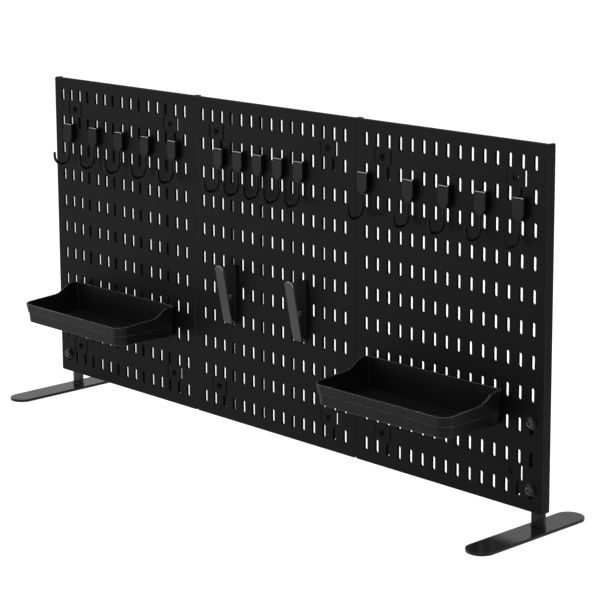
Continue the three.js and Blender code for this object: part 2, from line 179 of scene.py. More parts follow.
def finish_with(piece, kind, **settings):
    """Adds a modifier of this kind, sets it and applies it."""
    alone(piece)
    modifier = piece.modifiers.new(kind.lower(), kind)
    for key, value in settings.items():
        setattr(modifier, key, value)
    bpy.ops.object.modifier_apply(modifier=modifier.name)


def cut_away(piece, cutter):
    """Cuts the cutter's shape out of the piece."""
    finish_with(piece, "BOOLEAN", operation="DIFFERENCE", solver="EXACT", object=cutter)


def join(*pieces):
    """Makes several moulded or welded shapes one piece, the first of them."""
    alone(pieces[0])
    for piece in pieces:
        piece.select_set(True)
    bpy.ops.object.join()
    return pieces[0]


def copy(piece, name, shift):
    """A copy with a mesh of its own, moved by a shift."""
    alone(piece)
    bpy.ops.object.duplicate()
    twin = bpy.context.object
    twin.name = name
    twin.data.name = name
    twin.location = shift
    bpy.ops.object.transform_apply(location=True, rotation=True, scale=True)
    return twin


def remove(*pieces):
    for piece in pieces:
        bpy.data.objects.remove(piece)


def smooth(piece, degrees=38):
    """Smooth shading that leaves real corners sharp and broad faces flat."""
    alone(piece)
    bpy.ops.object.shade_smooth_by_angle(angle=math.radians(degrees))
    finish_with(piece, "WEIGHTED_NORMAL", keep_sharp=True)


def node(tree, kind, links=(), values=(), **settings):
    """A shader node with its settings, its input values, and links from other nodes' outputs."""
    made = tree.nodes.new("ShaderNode" + kind)
    for key, value in settings.items():
        setattr(made, key, value)
    for key, value in dict(values).items():
        made.inputs[key].default_value = value
    for key, output in dict(links).items():
        tree.links.new(output, made.inputs[key])
    return made


def grey(level):
    return (level, level * 1.01, level * 1.03, 1)


def moulded_plastic(name, dark, light, roughness, specular, painted_highlight_grey, grain=0.06):
    """Moulded plastic: a fine spark-eroded grain, and slow changes of tone and gloss.

    Faces marked for a painted highlight are lighter and glossier, and faces marked for painted shade
    are painted black and fully rough.
    """
    material = bpy.data.materials.new(name)
    material.use_nodes = True
    tree = material.node_tree
    tree.nodes.clear()
    place = node(tree, "TexCoord").outputs["Object"]
    clouds = node(tree, "TexNoise", {"Vector": place}, {"Scale": 14, "Detail": 4})
    speckle = node(tree, "TexNoise", {"Vector": place}, {"Scale": 1400, "Detail": 3})
    pits = node(tree, "TexVoronoi", {"Vector": place}, {"Scale": 900})
    tone = node(tree, "Mix", {"Factor": clouds.outputs["Fac"]}, data_type="RGBA")
    tone.inputs["A"].default_value = grey(dark)
    tone.inputs["B"].default_value = grey(light)
    # Two masks: one paints a highlight onto marked rounded edges, the other paints shade, as black,
    # onto marked hollows and hidden faces.
    rounded = node(tree, "Attribute", attribute_name="painted_highlight", attribute_type="GEOMETRY")
    painted_shade = node(tree, "Attribute", attribute_name="painted_shade", attribute_type="GEOMETRY")
    # Noise that breaks the painted highlight into patches of 85 to 100 percent strength.
    highlight_breakup = node(tree, "TexNoise", {"Vector": place}, {"Scale": 60, "Detail": 5})
    patches = node(tree, "MapRange", {"Value": highlight_breakup.outputs["Fac"]},
                   {"From Min": 0.35, "From Max": 0.65, "To Min": 0.85, "To Max": 1})
    edge = node(tree, "Math", {0: rounded.outputs["Fac"], 1: patches.outputs["Result"]},
                operation="MULTIPLY")
    colour = node(tree, "Mix", {"Factor": edge.outputs[0], "A": tone.outputs["Result"]},
                  data_type="RGBA")
    colour.inputs["B"].default_value = grey(painted_highlight_grey)
    shaded = node(tree, "Mix", {"Factor": painted_shade.outputs["Fac"], "A": colour.outputs["Result"]},
                  data_type="RGBA")
    shaded.inputs["B"].default_value = grey(0)
    gloss = node(tree, "MapRange", {"Value": clouds.outputs["Fac"]},
                 {"From Min": 0.3, "From Max": 0.7, "To Min": roughness - 0.05,
                  "To Max": roughness + 0.06})
    smoothed = node(tree, "Math", {0: edge.outputs[0], 2: gloss.outputs["Result"]}, {1: -0.2},
                    operation="MULTIPLY_ADD")
    rough = node(tree, "Math", {0: smoothed.outputs[0], 1: painted_shade.outputs["Fac"]},
                 operation="MAXIMUM")
    height = node(tree, "Math", {0: speckle.outputs["Fac"], 1: pits.outputs["Distance"]},
                  operation="ADD")
    bump = node(tree, "Bump", {"Height": height.outputs[0]},
                {"Strength": grain, "Distance": 0.0002})
    shader = node(tree, "BsdfPrincipled", {
        "Base Color": shaded.outputs["Result"],
        "Roughness": rough.outputs[0],
        "Normal": bump.outputs["Normal"],
    }, {"Specular IOR Level": specular})
    node(tree, "OutputMaterial", {"Surface": shader.outputs["BSDF"]})
    return material


def finish(piece, material, slot, body, *nodes):
    """Gives a piece its material, and ties it to its body and its CAD nodes; the slot is not used.
    """
    piece.data.materials.clear()
    piece.data.materials.append(material)
    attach(piece, body)
    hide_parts(*nodes)


# One slot's share of the sheet: a ring from the cell's edge to the slot, with its inner wall.
first_slot = Vector((panel_low.x + SIDE_MARGIN, wall_front, panel_high.z - END_MARGIN))
slot_radius = SLOT_WIDTH / 2 / math.cos(math.pi / SLOT_SIDES)
panel = start("slotted_panel_middle", bpy.ops.mesh.primitive_plane_add, size=1,
              location=first_slot, rotation=ALONG_Y)
edit(panel)
grow((COLUMN_PITCH, 1, ROW_PITCH), first_slot)
bpy.ops.mesh.subdivide(number_cuts=SLOT_SIDES // 4 - 1)
pick("verts", lambda v: not v.is_boundary)
bpy.ops.mesh.delete(type="VERT")
bpy.ops.mesh.primitive_circle_add(vertices=SLOT_SIDES, radius=slot_radius, location=first_slot,
                                  rotation=(math.pi / 2, math.pi / SLOT_SIDES, 0))
bpy.ops.mesh.select_all(action="SELECT")
bpy.ops.mesh.bridge_edge_loops()


def by_slot(vert):
    """Whether a vert is on the first slot's edge."""
    return (vert.co - first_slot).xz.length < slot_radius + 2 * SLOT_EDGE


pick("faces", lambda f: True)
bpy.ops.mesh.duplicate_move(TRANSFORM_OT_translate={"value": (0, SHEET, 0)})
pick("edges", lambda e: spans(e, 1, wall_front) and all(by_slot(v) for v in e.verts))
extrude((0, SHEET, 0))
bpy.ops.mesh.select_all(action="SELECT")
bpy.ops.mesh.remove_doubles(threshold=CLOSE)
bpy.ops.mesh.normals_make_consistent(inside=False)
pick("edges", lambda e: spans(e, 1, wall_front) and all(by_slot(v) for v in e.verts))
round_off(SLOT_EDGE, 2)
# The slot's inner walls are marked for painted shade: painted black, as shade in the recess.
mark("painted_shade", lambda f: abs(f.normal.y) < 0.1)
stretch = (SLOT_HEIGHT - SLOT_WIDTH) / 2
for way in (1, -1):
    pick("verts", lambda v: by_slot(v) and way * (v.co.z - first_slot.z) > 0)
    bpy.ops.transform.translate(value=(0, 0, way * stretch))
done()

# The whole slotted field, then its margins.
for count, step in ((COLUMNS, (COLUMN_PITCH, 0, 0)), (ROWS, (0, 0, -ROW_PITCH))):
    finish_with(panel, "ARRAY", count=count, use_relative_offset=False,
                use_constant_offset=True, constant_offset_displace=step,
                use_merge_vertices=True, merge_threshold=CLOSE)
edit(panel)
field_low = first_slot - Vector((COLUMN_PITCH / 2, 0, (ROWS - 0.5) * ROW_PITCH))
field_high = first_slot + Vector(((COLUMNS - 0.5) * COLUMN_PITCH, 0, ROW_PITCH / 2))
side, end = SIDE_MARGIN - COLUMN_PITCH / 2, END_MARGIN - ROW_PITCH / 2
for axis, value, shift in (
    (0, field_low.x, (-side, 0, 0)),
    (0, field_high.x, (side, 0, 0)),
    (2, field_low.z, (0, 0, -end)),
    (2, field_high.z, (0, 0, end)),
):
    pick("edges", lambda e: e.is_boundary and spans(e, axis, value))
    extrude(shift)

# Closed round the outside, with its corners rounded; then a flange runs back down each side.
half_width = (panel_high.x - panel_low.x) / 2
half_height = (panel_high.z - panel_low.z) / 2
depth = wall_back - wall_front
pick("edges", lambda e: e.is_boundary)
bpy.ops.mesh.bridge_edge_loops()
bpy.ops.mesh.select_all(action="SELECT")
bpy.ops.mesh.normals_make_consistent(inside=False)
pick("edges", lambda e: runs_along(e, 1) and near(abs(middle_of(e).x - panel_middle.x), half_width)
     and near(abs(middle_of(e).z - panel_middle.z), half_height))
round_off(PANEL_CORNER, 4)
inner_width = half_width - FLANGE_WALL
for way in (-1, 1):
    bpy.ops.mesh.select_all(action="SELECT")
    bpy.ops.mesh.bisect(plane_co=panel_middle + Vector((way * inner_width, 0, 0)),
                        plane_no=(1, 0, 0))
pick("faces", lambda f: faces_back(f)
     and abs(f.calc_center_median().x - panel_middle.x) > inner_width)
extrude((0, depth - SHEET, 0))


def at_border(edge):
    place = middle_of(edge) - panel_middle
    return (abs(place.x) > half_width - PANEL_BORDER
            or abs(place.z) > half_height - PANEL_BORDER)


pick("edges", lambda e: spans(e, 1, wall_front) and sharp(e) and at_border(e))
round_off(PANEL_EDGE, 3)
# The rounded front border is marked for a painted highlight.
mark("painted_highlight", lambda f: f.select)
pick("edges", lambda e: spans(e, 1, wall_back) and sharp(e))
round_off(HIDDEN_EDGE, 2)
done()

# The wall-screw pads: a boss behind, a recessed hole, and a cut down each side. The left bosses
# are as deep as the ribs all the way, and the right ones only below the hole.
PAD_COLUMNS, PAD_ROWS = (2.5, 13.5), (1.5, 10.5)
PAD_RECESS, PAD_RECESS_DEPTH, PAD_HOLE = 5.2 * MM, 1.2 * MM, 3 * MM
WIDE_CUT, NARROW_CUT = 4.6 * MM, 2.8 * MM
PAD_CUT_OFFSET, PAD_CUT_HALF, PAD_CUT_CORNER = 14.3 * MM, 9.7 * MM, 0.9 * MM
BOSS_DEPTHS, BOSS_STEP = (RIB_DEPTH, 7.5 * MM), -10 * MM
BOSS_HALF, BOSS_TOP, BOSS_BOTTOM = 6.5 * MM, 9 * MM, -29 * MM
bosses, pad_cutters = [], []
for column, boss_depth in zip(PAD_COLUMNS, BOSS_DEPTHS):
    stepped = boss_depth < RIB_DEPTH
    for row in PAD_ROWS:
        centre = first_slot + Vector(((column - 1) * COLUMN_PITCH, 0, (1 - row) * ROW_PITCH))
        drill = start("drill", bpy.ops.mesh.primitive_cylinder_add, vertices=24,
                      radius=PAD_RECESS, depth=2 * PAD_RECESS_DEPTH, location=centre,
                      rotation=ALONG_Y)
        edit(drill)
        pick("faces", faces_back)
        bpy.ops.mesh.inset(thickness=PAD_RECESS - PAD_HOLE)
        extrude((0, 2 * depth, 0))
        done()
        boss = block("boss", centre + Vector((-BOSS_HALF, SHEET - SUNK, BOSS_BOTTOM)),
                     centre + Vector((BOSS_HALF, boss_depth, BOSS_TOP)))
        edit(boss)
        if stepped:
            bpy.ops.mesh.bisect(plane_co=centre + Vector((0, 0, BOSS_STEP)), plane_no=(0, 0, 1))
            pick("faces", lambda f: faces_back(f)
                 and f.calc_center_median().z < centre.z + BOSS_STEP)
            extrude((0, RIB_DEPTH - boss_depth, 0))
        pick("edges", lambda e: sharp(e) and not spans(e, 1, centre.y + SHEET - SUNK))
        round_off(HIDDEN_EDGE, 2)
        done()
        cut_away(boss, drill)
        bosses.append(boss)
        pad_cutters.append(drill)
        for way in (-1, 1):
            cut_width = WIDE_CUT if stepped and way > 0 else NARROW_CUT
            slit = centre + Vector((way * PAD_CUT_OFFSET, 0, 0))
            reach = Vector((cut_width / 2, 2 * SHEET, PAD_CUT_HALF))
            cutter = block("slit", slit - reach, slit + reach)
            edit(cutter)
            pick("edges", lambda e: runs_along(e, 1))
            round_off(PAD_CUT_CORNER, 3)
            done()
            pad_cutters.append(cutter)
pad_cutter = join(*pad_cutters)
cut_away(panel, pad_cutter)
remove(pad_cutter)

# The ribs down the back, and then all of it as one moulding.
ribs = []
rib_half = half_height - PANEL_CORNER
for column in RIBBED_AFTER:
    x = first_slot.x + (column - 0.5) * COLUMN_PITCH
    rib = block("rib", (x - RIB_WALL / 2, wall_front + SHEET - SUNK, panel_middle.z - rib_half),
                (x + RIB_WALL / 2, wall_front + RIB_DEPTH, panel_middle.z + rib_half))
    edit(rib)
    pick("edges", lambda e: spans(e, 1, wall_front + RIB_DEPTH) and runs_along(e, 2))
    round_off(HIDDEN_EDGE, 2)
    done()
    ribs.append(rib)
join(panel, *bosses, *ribs)
smooth(panel)

# The last grey is the colour of the painted highlight on the marked border.
panel_plastic = moulded_plastic("satin_black_abs", 0.002, 0.0035, 0.44, 0.056, painted_highlight_grey=0.012)
panels = {"middle_panel": panel}
for side_name in ("left", "right"):
    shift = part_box(f"{side_name}_panel")[0] - panel_low
    panels[f"{side_name}_panel"] = copy(panel, f"slotted_panel_{side_name}", shift)
for name, piece in panels.items():
    finish(piece, panel_plastic, "panel_plastic", "root", name)


# ------------------------------------------------------------------------------ the link bolts
# Six M4 button-head bolts, blackened steel, with plain zinc-plated nuts. They go through the
# flanges where two panels meet, three up each seam, and are reached from behind.
BOLT_HEAD, BOLT_DOME, BOLT_SHANK = 2.4 * MM, 1.5 * MM, 2 * MM
SOCKET_RADIUS, SOCKET_DEPTH = 1.45 * MM, 1.5 * MM
SHANK_START = 0.8  # of a head's height
SHANK_END, RING_EDGE = 0.4 * MM, 0.35 * MM
ALONG_X = (0, math.pi / 2, 0)


def drilled_ring(name, low, high, hole_radius, corners, along=1):
    """A nut or a washer that fills its box, drilled along one axis, with its edges broken."""
    centre, size = (low + high) / 2, high - low
    turn = ALONG_Y if along == 1 else ALONG_X
    ring = start(name, bpy.ops.mesh.primitive_cylinder_add, vertices=corners, radius=size.z / 2,
                 depth=size[along], location=centre, rotation=turn)
    edit(ring)
    pick("edges", lambda e: sharp(e) and not runs_along(e, along))
    round_off(min(RING_EDGE, size[along] / 4), 2)
    done()
    drill = start("drill", bpy.ops.mesh.primitive_cylinder_add, vertices=24, radius=hole_radius,
                  depth=3 * size[along], location=centre, rotation=turn)
    cut_away(ring, drill)
    remove(drill)
    smooth(ring)
    return ring


def turned_steel(name, base, metallic, roughness, specular):
    """Plated or blackened steel: turning marks, small stains, and convex edges mixed lighter, partly
    as wear and partly as a painted highlight.
    """
    material = bpy.data.materials.new(name)
    material.use_nodes = True
    tree = material.node_tree
    tree.nodes.clear()
    place = node(tree, "TexCoord").outputs["Object"]
    stains = node(tree, "TexNoise", {"Vector": place}, {"Scale": 300, "Detail": 5})
    marks = node(tree, "TexNoise", {"Vector": place}, {"Scale": 2200, "Detail": 2})
    edge = node(tree, "MapRange", {"Value": node(tree, "NewGeometry").outputs["Pointiness"]},
                {"From Min": 0.52, "From Max": 0.62, "To Min": 0, "To Max": 0.6})
    tone = node(tree, "Mix", {"Factor": stains.outputs["Fac"]}, data_type="RGBA")
    tone.inputs["A"].default_value = grey(base * 0.7)
    tone.inputs["B"].default_value = grey(base * 1.3)
    colour = node(tree, "Mix", {"Factor": edge.outputs["Result"], "A": tone.outputs["Result"]},
                  data_type="RGBA")
    colour.inputs["B"].default_value = grey(min(base * 3, 0.6))
    rough = node(tree, "MapRange", {"Value": stains.outputs["Fac"]},
                 {"From Min": 0.3, "From Max": 0.7, "To Min": roughness - 0.06,
                  "To Max": roughness + 0.08})
    bump = node(tree, "Bump", {"Height": marks.outputs["Fac"]},
                {"Strength": 0.15, "Distance": 0.0001})
    shader = node(tree, "BsdfPrincipled", {
        "Base Color": colour.outputs["Result"],
        "Roughness": rough.outputs["Result"],
        "Normal": bump.outputs["Normal"],
    }, {"Metallic": metallic, "Specular IOR Level": specular})
    node(tree, "OutputMaterial", {"Surface": shader.outputs["BSDF"]})
    return material


black_steel = turned_steel("blackened_steel", 0.004, 0.0, 0.16, 0.4)
plain_steel = turned_steel("zinc_plated_steel", 0.4, 1.0, 0.35, 0.5)

bolt_low, bolt_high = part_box("left_seam_bolt_1")
bolt_axis = (bolt_low + bolt_high) / 2
head_radius = (bolt_high.z - bolt_low.z) / 2
bolt = start("seam_bolt", bpy.ops.mesh.primitive_cylinder_add, vertices=32, radius=head_radius,
             depth=BOLT_HEAD, rotation=ALONG_X,
             location=(bolt_low.x + BOLT_HEAD / 2, bolt_axis.y, bolt_axis.z))
edit(bolt)
pick("edges", lambda e: spans(e, 0, bolt_low.x))
round_off(BOLT_DOME, 4)
done()
socket = start("socket", bpy.ops.mesh.primitive_cylinder_add, vertices=6, radius=SOCKET_RADIUS,
               depth=2 * SOCKET_DEPTH, rotation=ALONG_X,
               location=(bolt_low.x, bolt_axis.y, bolt_axis.z))
cut_away(bolt, socket)
remove(socket)
shank_start = bolt_low.x + SHANK_START * BOLT_HEAD
shank = start("shank", bpy.ops.mesh.primitive_cylinder_add, vertices=24, radius=BOLT_SHANK,
              depth=bolt_high.x - shank_start, rotation=ALONG_X,
              location=((shank_start + bolt_high.x) / 2, bolt_axis.y, bolt_axis.z))
edit(shank)
pick("edges", lambda e: spans(e, 0, bolt_high.x))
round_off(SHANK_END, 2)
done()
join(bolt, shank)
smooth(bolt)
nut_low, nut_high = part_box("left_seam_nut_1")
nut = drilled_ring("seam_nut", nut_low, nut_high, BOLT_SHANK, 6, along=0)
for seam in ("left", "right"):
    for index in (1, 2, 3):
        bolt_name, nut_name = f"{seam}_seam_bolt_{index}", f"{seam}_seam_nut_{index}"
        piece = copy(bolt, f"link_bolt_{seam}_{index}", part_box(bolt_name)[0] - bolt_low)
        finish(piece, black_steel, "black_steel", "root", bolt_name)
        piece = copy(nut, f"link_nut_{seam}_{index}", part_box(nut_name)[0] - nut_low)
        finish(piece, plain_steel, "plain_steel", "root", nut_name)
remove(bolt, nut)


# ------------------------------------------------------------------------------------ the feet
# Two feet in steel plate with a semi-gloss black powder coat: a round-ended plate on the floor,
# and a flat upright welded across it that stands behind the panel's outer slot column.
FOOT_PLATE, FOOT_SIDES, FOOT_EDGE = 4 * MM, 64, 0.7 * MM
UPRIGHT_HALF, UPRIGHT_CORNER, UPRIGHT_EDGE = 10 * MM, 3 * MM, 0.4 * MM
WELD, WELD_SUNK, WELD_TAPER = 1.3 * MM, 0.2 * MM, 0.64
FOOT_SHANK, SCREW_CLEARANCE, DRILL_LENGTH = 2.5 * MM, 0.3 * MM, 40 * MM
FIT_GAP = 0.3 * MM  # between pieces that touch


def powder_coat(name, dark, light, roughness, specular):
    """Powder coat on steel: a fine orange peel, faint dust, and gloss that changes slowly."""
    material = bpy.data.materials.new(name)
    material.use_nodes = True
    tree = material.node_tree
    tree.nodes.clear()
    place = node(tree, "TexCoord").outputs["Object"]
    peel = node(tree, "TexNoise", {"Vector": place}, {"Scale": 420, "Detail": 2})
    dust = node(tree, "TexNoise", {"Vector": place}, {"Scale": 2600, "Detail": 2})
    clouds = node(tree, "TexNoise", {"Vector": place}, {"Scale": 22, "Detail": 4})
    # Convex edges are mixed lighter, partly as wear and partly as a painted highlight.
    edge = node(tree, "MapRange", {"Value": node(tree, "NewGeometry").outputs["Pointiness"]},
                {"From Min": 0.52, "From Max": 0.62, "To Min": 0, "To Max": 0.5})
    tone = node(tree, "Mix", {"Factor": clouds.outputs["Fac"]}, data_type="RGBA")
    tone.inputs["A"].default_value = grey(dark)
    tone.inputs["B"].default_value = grey(light)
    colour = node(tree, "Mix", {"Factor": edge.outputs["Result"], "A": tone.outputs["Result"]},
                  data_type="RGBA")
    colour.inputs["B"].default_value = grey(light * 3)
    rough = node(tree, "MapRange", {"Value": clouds.outputs["Fac"]},
                 {"From Min": 0.3, "From Max": 0.7, "To Min": roughness - 0.04,
                  "To Max": roughness + 0.05})
    height = node(tree, "Math", {0: peel.outputs["Fac"], 1: dust.outputs["Fac"]},
                  operation="ADD")
    bump = node(tree, "Bump", {"Height": height.outputs[0]},
                {"Strength": 0.12, "Distance": 0.0002})
    shader = node(tree, "BsdfPrincipled", {
        "Base Color": colour.outputs["Result"],
        "Roughness": rough.outputs["Result"],
        "Normal": bump.outputs["Normal"],
    }, {"Specular IOR Level": specular})
    node(tree, "OutputMaterial", {"Surface": shader.outputs["BSDF"]})
    return material


foot_coat = powder_coat("semi_gloss_powder_coat", 0.003, 0.005, 0.17, 0.15)

foot_low, foot_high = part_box("left_foot")
foot_x, foot_y = (foot_low.x + foot_high.x) / 2, (foot_low.y + foot_high.y) / 2
foot_radius = (foot_high.x - foot_low.x) / 2
foot = start("foot", bpy.ops.mesh.primitive_cylinder_add, vertices=FOOT_SIDES, radius=foot_radius,
             depth=FOOT_PLATE, location=(foot_x, foot_y, FOOT_PLATE / 2),
             rotation=(0, 0, math.pi / FOOT_SIDES))
edit(foot)
straight = (foot_high.y - foot_low.y) / 2 - foot_radius
for way in (-1, 1):
    pick("verts", lambda v: way * (v.co.y - foot_y) > 0)
    bpy.ops.transform.translate(value=(0, way * straight, 0))
pick("edges", lambda e: sharp(e) and not runs_along(e, 2))
round_off(FOOT_EDGE, 3)
done()
spacer_low, spacer_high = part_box("left_foot_upper_spacer")
nut_low, nut_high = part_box("left_foot_upper_nut")
upright_front, upright_back = spacer_high.y + FIT_GAP, nut_low.y - FIT_GAP
upright = block("upright", (foot_x - UPRIGHT_HALF, upright_front, FOOT_PLATE / 2),
                (foot_x + UPRIGHT_HALF, upright_back, foot_high.z))
edit(upright)
pick("edges", lambda e: runs_along(e, 1) and near(middle_of(e).z, foot_high.z))
round_off(UPRIGHT_CORNER, 5)
pick("edges", lambda e: sharp(e) and not spans(e, 2, FOOT_PLATE / 2))
round_off(UPRIGHT_EDGE, 2)
done()
weld_bottom = FOOT_PLATE - WELD_SUNK
weld = block("weld", (foot_x - UPRIGHT_HALF - WELD, upright_front - WELD, weld_bottom),
             (foot_x + UPRIGHT_HALF + WELD, upright_back + WELD, FOOT_PLATE + WELD))
edit(weld)
pick("faces", lambda f: f.normal.z > 0.9)
grow((UPRIGHT_HALF / (UPRIGHT_HALF + WELD), WELD_TAPER, 1),
     (foot_x, (upright_front + upright_back) / 2, FOOT_PLATE))
pick("edges", sharp)
round_off(UPRIGHT_EDGE, 2)
done()
for level in ("upper", "lower"):
    low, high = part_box(f"left_foot_{level}_screw")
    drill = start("drill", bpy.ops.mesh.primitive_cylinder_add, vertices=24,
                  radius=FOOT_SHANK + SCREW_CLEARANCE, depth=DRILL_LENGTH, rotation=ALONG_Y,
                  location=(foot_x, upright_front, (low.z + high.z) / 2))
    cut_away(upright, drill)
    remove(drill)
join(foot, upright, weld)
smooth(foot)
for side_name in ("left", "right"):
    node_name = f"{side_name}_foot"
    piece = copy(foot, f"welded_foot_{side_name}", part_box(node_name)[0] - foot_low)
    finish(piece, foot_coat, "foot_steel", "root", node_name)
remove(foot)


# -------------------------------------------------------------------------- the feet's screws
# Each foot hangs on two M5 cross-recessed pan-head screws, blackened, with a wide washer on the
# panel's face, a blackened spacer block through the panel's depth and a zinc-plated nut behind.
FOOT_HEAD = 3.8 * MM
HEAD_DOME = 0.85  # of a head's height
CROSS_REACH, CROSS_WIDTH, CROSS_DEPTH = 0.42, 0.12, 0.45  # of its radius, radius and height
CROSS_TAPER = 0.6
SPACER_EDGE = 0.6 * MM


def pan_head_screw(name, low, high, head_height, shank_radius):
    """A domed, cross-recessed screw along +Y that fills its box, with its head in front."""
    centre = (low + high) / 2
    radius = (high.z - low.z) / 2
    screw = start(name, bpy.ops.mesh.primitive_cylinder_add, vertices=40, radius=radius,
                  depth=head_height, rotation=ALONG_Y,
                  location=(centre.x, low.y + head_height / 2, centre.z))
    edit(screw)
    pick("edges", lambda e: spans(e, 1, low.y))
    round_off(head_height * HEAD_DOME, 6)
    done()
    cross_half, cross_side = radius * CROSS_REACH, radius * CROSS_WIDTH
    cross_depth = head_height * CROSS_DEPTH
    for across, up in ((cross_half, cross_side), (cross_side, cross_half)):
        blade = block("blade", (centre.x - across, low.y - cross_depth, centre.z - up),
                      (centre.x + across, low.y + cross_depth, centre.z + up))
        edit(blade)
        pick("faces", faces_back)
        grow((CROSS_TAPER, 1, CROSS_TAPER), centre)
        done()
        cut_away(screw, blade)
        remove(blade)
    shank_start = low.y + head_height * SHANK_START
    shank = start("shank", bpy.ops.mesh.primitive_cylinder_add, vertices=24,
                  radius=shank_radius, depth=high.y - shank_start, rotation=ALONG_Y,
                  location=(centre.x, (shank_start + high.y) / 2, centre.z))
    edit(shank)
    pick("edges", lambda e: spans(e, 1, high.y))
    round_off(SHANK_END, 2)
    done()
    join(screw, shank)
    smooth(screw)
    return screw


fixings = {
    "screw": pan_head_screw("foot_screw", *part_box("left_foot_upper_screw"), FOOT_HEAD, FOOT_SHANK),
    "washer": drilled_ring("foot_washer", *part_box("left_foot_upper_washer"), FOOT_SHANK, 48),
    "nut": drilled_ring("foot_nut", *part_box("left_foot_upper_nut"), FOOT_SHANK, 6),
}
for kind, model in fixings.items():
    model_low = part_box(f"left_foot_upper_{kind}")[0]
    steel, slot_name = black_steel, "black_steel"
    if kind == "nut":
        steel, slot_name = plain_steel, "plain_steel"
    for side_name in ("left", "right"):
        for level in ("upper", "lower"):
            node_name = f"{side_name}_foot_{level}_{kind}"
            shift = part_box(node_name)[0] - model_low
            piece = copy(model, f"foot_{kind}_{side_name}_{level}", shift)
            finish(piece, steel, slot_name, "root", node_name)
remove(*fixings.values())
for level in ("upper", "lower"):
    spacer_low, spacer_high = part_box(f"left_foot_{level}_spacer")
    screw_low, screw_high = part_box(f"left_foot_{level}_screw")
    spacer = block("foot_spacer", spacer_low, spacer_high)
    edit(spacer)
    pick("edges", sharp)
    round_off(SPACER_EDGE, 3)
    done()
    drill = start("drill", bpy.ops.mesh.primitive_cylinder_add, vertices=24,
                  radius=FOOT_SHANK + SCREW_CLEARANCE, depth=DRILL_LENGTH, rotation=ALONG_Y,
                  location=(foot_x, spacer_low.y, (screw_low.z + screw_high.z) / 2))
    cut_away(spacer, drill)
    remove(drill)
    smooth(spacer)
    for side_name in ("left", "right"):
        node_name = f"{side_name}_foot_{level}_spacer"
        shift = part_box(node_name)[0] - spacer_low
        piece = copy(spacer, f"foot_spacer_{side_name}_{level}", shift)
        finish(piece, black_steel, "black_steel", "root", node_name)
    remove(spacer)


# ----------------------------------------------------------------------------------- the hooks
# Fifteen like hooks, moulded in glossy black nylon: a thick shield-shaped body that runs down into
# a round J. A tab behind goes through one slot, and its lip drops behind the sheet.
HOOK_DROP = 2 * MM
HOOK_WIDTH, HOOK_DEPTH = 18.5 * MM, 7.7 * MM
HOOK_SHOULDER, HOOK_CHIN = -23.5 * MM, -31 * MM
HOOK_CORNER, HOOK_EDGE, HOOK_BRIGHT = 3 * MM, 1 * MM, 1.2 * MM
CHIN_WIDTH, CHIN_DEPTH = 5.4 * MM, 0.56  # the depth as a share of the body's
WIRE_RADIUS = 2 * MM
BEND_RADIUS, BEND_HEIGHT, TIP_HEIGHT = 13.2 * MM, -47 * MM, -41 * MM
TAB_HEIGHT, TAB_CORNER, TAB_CLEARANCE = 3.4 * MM, 1.4 * MM, 0.5 * MM
TAB_RISE = 1.3 * MM  # keeps a tab's square foot clear of the slot's round end
LIP_THICKNESS, LIP_LENGTH = 2.2 * MM, 6 * MM

hook_low, hook_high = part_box("left_hook_1")
hook_at = Vector(((hook_low.x + hook_high.x) / 2, wall_front, hook_high.z + HOOK_DROP))


def wall_tab(name, at, root):
    """The tab through a slot and the lip behind the sheet, for a piece hung at this point."""
    half = SLOT_WIDTH / 2 - TAB_CLEARANCE
    bottom = -SLOT_HEIGHT / 2 + FIT_GAP + TAB_RISE
    top = bottom + TAB_HEIGHT
    lip_front = SHEET + FIT_GAP
    lip_back = lip_front + LIP_THICKNESS
    tab = block(name, at + Vector((-half, root, bottom)), at + Vector((half, lip_back, top)))
    edit(tab)
    pick("edges", lambda e: runs_along(e, 1) and near(middle_of(e).z, at.z + top))
    round_off(TAB_CORNER, 4)
    bpy.ops.mesh.select_all(action="SELECT")
    bpy.ops.mesh.bisect(plane_co=at + Vector((0, lip_front, 0)), plane_no=(0, 1, 0))
    pick("faces", lambda f: f.normal.z < -0.9 and f.calc_center_median().y > at.y + lip_front)
    extrude((0, 0, -LIP_LENGTH))
    pick("edges", lambda e: sharp(e) and not spans(e, 1, at.y + root))
    round_off(HIDDEN_EDGE, 2)
    done()
    return tab


front_y = -FIT_GAP - HOOK_DEPTH
shield = block("hook_body", hook_at + Vector((-HOOK_WIDTH / 2, front_y, HOOK_CHIN)),
               hook_at + Vector((HOOK_WIDTH / 2, -FIT_GAP, -HOOK_DROP)))
edit(shield)
bpy.ops.mesh.bisect(plane_co=hook_at + Vector((0, 0, HOOK_SHOULDER)), plane_no=(0, 0, 1))
pick("verts", lambda v: near(v.co.z, hook_at.z + HOOK_CHIN))
grow((CHIN_WIDTH / HOOK_WIDTH, CHIN_DEPTH, 1), hook_at + Vector((0, front_y, HOOK_CHIN)))
pick("edges", lambda e: runs_along(e, 1) and near(middle_of(e).z, hook_at.z - HOOK_DROP))
round_off(HOOK_CORNER, 6)
pick("edges", lambda e: sharp(e, 25))
round_off(HOOK_EDGE, 4)
# A painted highlight along the body's rounded top edge.
top_edge = hook_at.z - HOOK_DROP - HOOK_BRIGHT
mark("painted_highlight", lambda f: f.calc_center_median().z > top_edge and -0.95 < f.normal.y < -0.3)
done()

